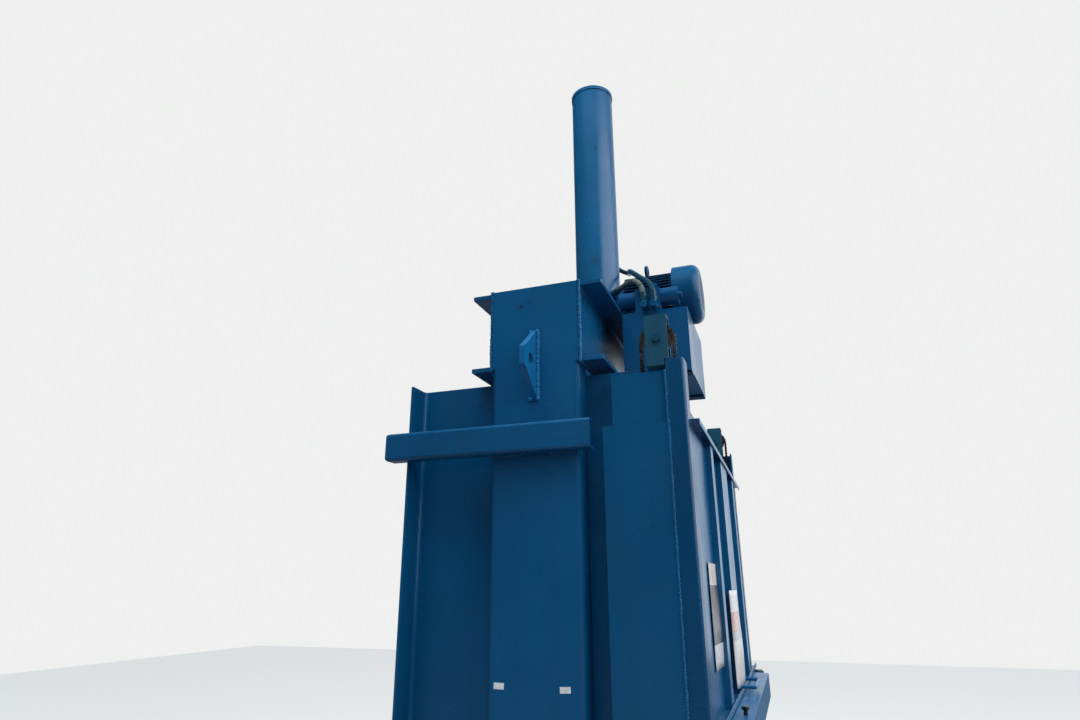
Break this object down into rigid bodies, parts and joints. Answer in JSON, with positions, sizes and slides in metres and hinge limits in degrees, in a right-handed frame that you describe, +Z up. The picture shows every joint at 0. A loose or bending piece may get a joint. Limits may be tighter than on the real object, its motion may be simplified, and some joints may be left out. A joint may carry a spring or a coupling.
{
  "type": "recycling baler",
  "caption": "Tall blue vertical baler: side tension columns, twin-channel crosshead, top cylinder, side power unit, chain-hung sliding feed gate and a hinged bale door.",
  "frame": {"origin": "on the floor, under the axis of the cylinder", "axes": "+Z up along the cylinder's axis, -Y towards the feed gate and the bale door, X across the machine's width"},
  "size_m": [2.308, 1.271, 4.204],
  "materials": {
    "paint": "gloss enamel, sprayed over welds",
    "paper": "plain sheet under a glossy film",
    "bare_steel": "worn bare steel",
    "zinc": "zinc plated",
    "chain_steel": "oiled black steel",
    "cast_weight": "plain cast iron",
    "rod_chrome": "ground chrome",
    "motor_iron": "cast iron, painted blue",
    "hose_painted": "rubber hose, painted over",
    "hose_bare": "grey-green rubber hose, wiped with paint",
    "switch_blue": "moulded switch case",
    "dark_knob": "black moulding",
    "cabinet_grey": "fine textured powder coat",
    "stop_red": "moulded",
    "button_green": "moulded",
    "button_black": "moulded"
  },
  "bodies": {
    "frame": {"base_frame": "paint", "floor_plate": "bare_steel", "side_wall_left": "paint", "side_wall_right": "paint", "column_left": "paint", "column_right": "paint", "crosshead_front": "paint", "crosshead_rear": "paint", "crosshead_seat": "paint", "rear_wall": "paint", "front_header": "paint", "front_sill": "paint", "guide_post_left": "paint", "guide_post_right": "paint", "side_rails": "paint", "lifting_lugs": "paint", "weight_box_left": "paint", "weight_box_right": "paint", "sprocket_bracket_left": "paint", "sprocket_bracket_right": "paint", "sprocket_axles": "zinc", "chain_left": "chain_steel", "chain_right": "chain_steel", "gate_switch": "switch_blue", "door_hinge_pins": "zinc", "cylinder_barrel": "paint", "cylinder_gland": "bare_steel", "cylinder_bolts": "zinc", "pressure_pipe": "paint", "oil_tank": "paint", "filler_cap": "dark_knob", "tank_supports": "paint", "motor_body": "motor_iron", "fan_cowl": "paint", "hydraulic_pump": "motor_iron", "valve_block": "paint", "solenoid_valve": "paint", "hose_down": "hose_painted", "hose_up": "hose_painted", "hose_pump": "hose_bare", "control_cabinet": "cabinet_grey"},
    "platen_body": {"platen": "paint", "piston_rod": "rod_chrome", "piston": "cast_weight"},
    "gate": {"feed_gate": "paint", "gate_handle": "paint"},
    "weight_left": {"counterweight_left": "cast_weight"},
    "weight_right": {"counterweight_right": "cast_weight"},
    "wheel_left": {"sprocket_left": "chain_steel"},
    "wheel_right": {"sprocket_right": "chain_steel"},
    "door": {"bale_door": "paint", "pull_pin": "dark_knob"},
    "lock": {"lock_bar": "paint"},
    "lever": {"door_lever": "dark_knob"},
    "rotor": {"motor_rotor": "bare_steel"},
    "cabinet_lid": {"cabinet_door": "cabinet_grey"},
    "stop_button": {"emergency_stop": "stop_red"},
    "down_push": {"down_button": "button_green"},
    "up_push": {"up_button": "button_black"},
    "isolator": {"isolator_switch": "stop_red"}
  },
  "joints": [
    {"name": "platen_stroke", "type": "slide", "parent": "frame", "child": "platen_body", "axis": [0, 0, -1], "range_m": [0, 1.07]},
    {"name": "gate_lift", "type": "slide", "parent": "frame", "child": "gate", "axis": [0, 0, 1], "range_m": [0, 0.47625]},
    {"name": "weight_left_drop", "type": "slide", "parent": "frame", "child": "weight_left", "axis": [0, 0, 1], "range_m": [-0.47625, 0]},
    {"name": "weight_right_drop", "type": "slide", "parent": "frame", "child": "weight_right", "axis": [0, 0, 1], "range_m": [-0.47625, 0]},
    {"name": "wheel_left_turn", "type": "hinge", "parent": "frame", "child": "wheel_left", "pos_m": [-0.915, -0.43, 2.379], "axis": [1, 0, 0], "range_deg": [-489.24, 0]},
    {"name": "wheel_right_turn", "type": "hinge", "parent": "frame", "child": "wheel_right", "pos_m": [0.915, -0.43, 2.379], "axis": [1, 0, 0], "range_deg": [-489.24, 0]},
    {"name": "door_swing", "type": "hinge", "parent": "frame", "child": "door", "pos_m": [0.915, -0.545, 0.675], "axis": [0, 0, 1], "range_deg": [0, 105]},
    {"name": "lock_slide", "type": "slide", "parent": "door", "child": "lock", "axis": [0, 0, 1], "range_m": [-0.05448, 0]},
    {"name": "lever_turn", "type": "hinge", "parent": "door", "child": "lever", "pos_m": [-0.62, -0.57, 0.99], "axis": [0, 1, 0], "range_deg": [-54, 0]},
    {"name": "rotor_spin", "type": "hinge", "parent": "frame", "child": "rotor", "pos_m": [-0.415, -0.4, 2.7445], "axis": [0, 1, 0], "continuous": true},
    {"name": "cabinet_swing", "type": "hinge", "parent": "frame", "child": "cabinet_lid", "pos_m": [1.244, -0.466, 1.4], "axis": [0, 0, 1], "range_deg": [0, 110]},
    {"name": "stop_press", "type": "slide", "parent": "cabinet_lid", "child": "stop_button", "axis": [0, 1, 0], "range_m": [0, 0.006], "stiffness_N_per_m": 900},
    {"name": "down_press", "type": "slide", "parent": "cabinet_lid", "child": "down_push", "axis": [0, 1, 0], "range_m": [0, 0.004], "stiffness_N_per_m": 500},
    {"name": "up_press", "type": "slide", "parent": "cabinet_lid", "child": "up_push", "axis": [0, 1, 0], "range_m": [0, 0.004], "stiffness_N_per_m": 500},
    {"name": "isolator_turn", "type": "hinge", "parent": "cabinet_lid", "child": "isolator", "pos_m": [1.095, -0.48, 1.25], "axis": [0, 1, 0], "range_deg": [0, 90]}
  ],
  "couplings": [
    {"joint": "weight_left_drop", "follows": "gate_lift", "ratio": -1},
    {"joint": "weight_right_drop", "follows": "gate_lift", "ratio": -1},
    {"joint": "wheel_left_turn", "follows": "gate_lift", "rad_per_m": -17.929},
    {"joint": "wheel_right_turn", "follows": "gate_lift", "rad_per_m": -17.929},
    {"joint": "lock_slide", "follows": "lever_turn", "m_per_rad": 0.057804}
  ]
}
